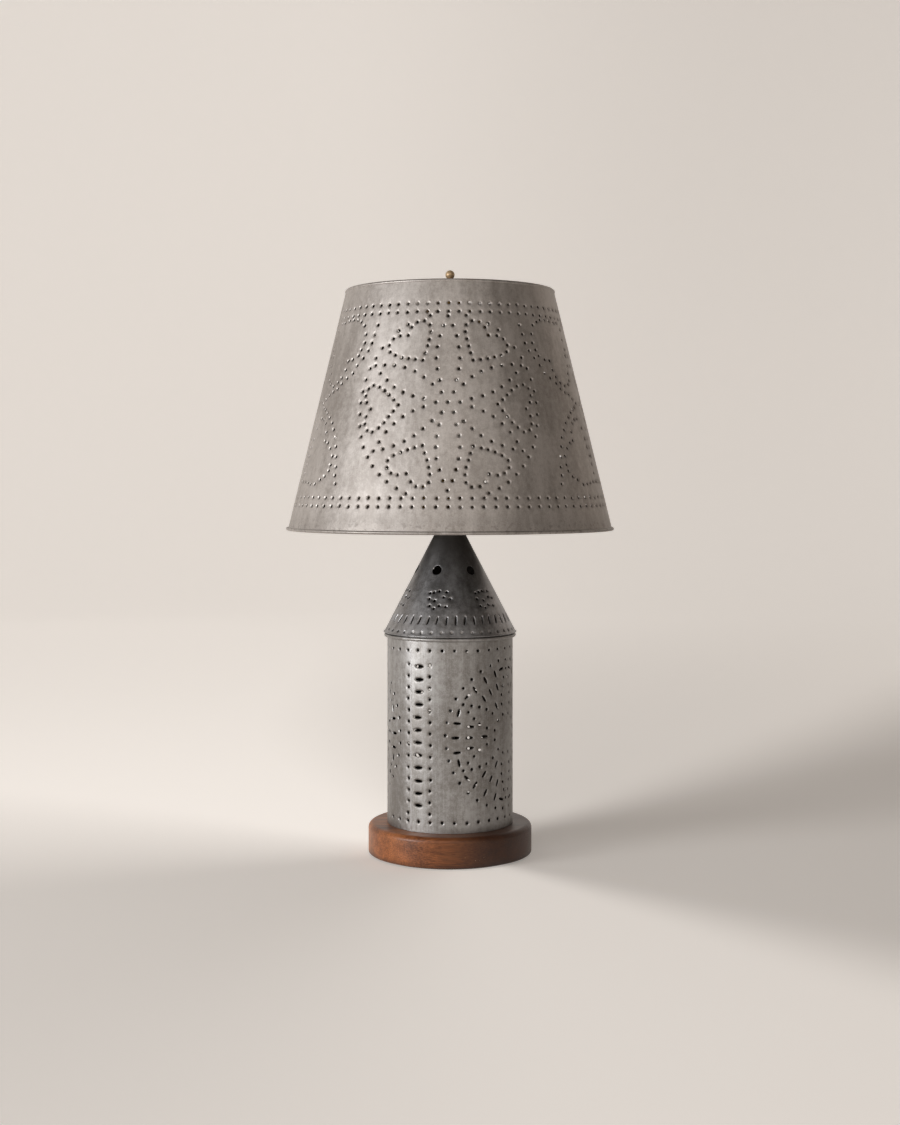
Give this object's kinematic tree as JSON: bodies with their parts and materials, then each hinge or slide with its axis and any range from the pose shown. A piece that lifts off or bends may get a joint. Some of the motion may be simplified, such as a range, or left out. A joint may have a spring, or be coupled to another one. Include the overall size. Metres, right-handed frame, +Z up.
{
  "type": "table lamp",
  "caption": "Table lamp: a punched tin lantern with a conical roof on a round wood base, under a wide punched tin cone shade on a harp, with a ball finial.",
  "frame": {"origin": "on the lamp's vertical axis, at the underside of the felt pad", "axes": "+Z up along the lamp's axis; the front, where the switch key points, faces -Y; +X is to the right seen from the front"},
  "size_m": [0.381, 0.381, 0.6787],
  "materials": {
    "tin": "aged, dulled and faintly streaked",
    "roof_tin": "aged, darker towards the top",
    "walnut": "reddish brown stain, satin",
    "felt": "matt",
    "steel": "zinc plated",
    "brass": "satin",
    "aged_brass": "browned",
    "phenolic": "satin black",
    "fibre": "matt",
    "frosted_glass": "frosted",
    "aluminium": "bright",
    "cord": "brown and gold, satin",
    "plug": "dark brown, satin"
  },
  "bodies": {
    "stand": {"base_pad": "felt", "wood_base": "walnut", "base_washer": "steel", "base_nut": "steel", "lamp_pipe": "steel", "lantern_floor": "tin", "lantern_body": "tin", "lantern_bead": "tin", "lantern_roof": "roof_tin", "roof_cap": "roof_tin", "top_locknut": "brass", "harp_saddle": "brass", "harp": "brass", "harp_swivel": "brass", "socket_cap": "brass", "socket_set_screw": "brass", "socket_shell": "brass", "socket_liner": "fibre", "socket_insulator": "phenolic", "screw_shell": "brass", "centre_contact": "brass", "terminal_screw_left": "brass", "terminal_screw_right": "brass", "cord_bushing": "phenolic", "cord_in_the_lamp": "cord", "cord_lead": "cord", "cord_coil": "cord", "cord_tail": "cord", "cord_tie": "phenolic", "plug_relief": "plug", "plug_body": "plug", "plug_blade_left": "brass", "plug_blade_right": "brass"},
    "switch": {"switch_key": "phenolic"},
    "bulb": {"bulb_tip": "aluminium", "bulb_insulator": "phenolic", "bulb_base": "aluminium", "bulb_glass": "frosted_glass"},
    "shade": {"shade_shell": "tin", "shade_top_wire": "steel", "shade_bottom_wire": "steel", "shade_spider": "brass"},
    "finial": {"finial": "aged_brass"},
    "sleeve_left": {"harp_sleeve_left": "brass"},
    "sleeve_right": {"harp_sleeve_right": "brass"}
  },
  "joints": [
    {"name": "switch_turn", "type": "hinge", "parent": "stand", "child": "switch", "pos_m": [0, 0, 0.4203], "axis": [0, -1, 0], "continuous": true},
    {"name": "bulb_turn", "type": "hinge", "parent": "stand", "child": "bulb", "pos_m": [0, 0, 0.4321], "axis": [0, 0, 1], "continuous": true},
    {"name": "shade_turn", "type": "hinge", "parent": "stand", "child": "shade", "pos_m": [0, 0, 0.6455], "axis": [0, 0, 1], "continuous": true},
    {"name": "finial_turn", "type": "hinge", "parent": "stand", "child": "finial", "pos_m": [0, 0, 0.6477], "axis": [0, 0, 1], "continuous": true},
    {"name": "sleeve_left_slide", "type": "slide", "parent": "stand", "child": "sleeve_left", "axis": [0, 0, 1], "range_m": [0, 0.015]},
    {"name": "sleeve_right_slide", "type": "slide", "parent": "stand", "child": "sleeve_right", "axis": [0, 0, 1], "range_m": [0, 0.015]}
  ]
}
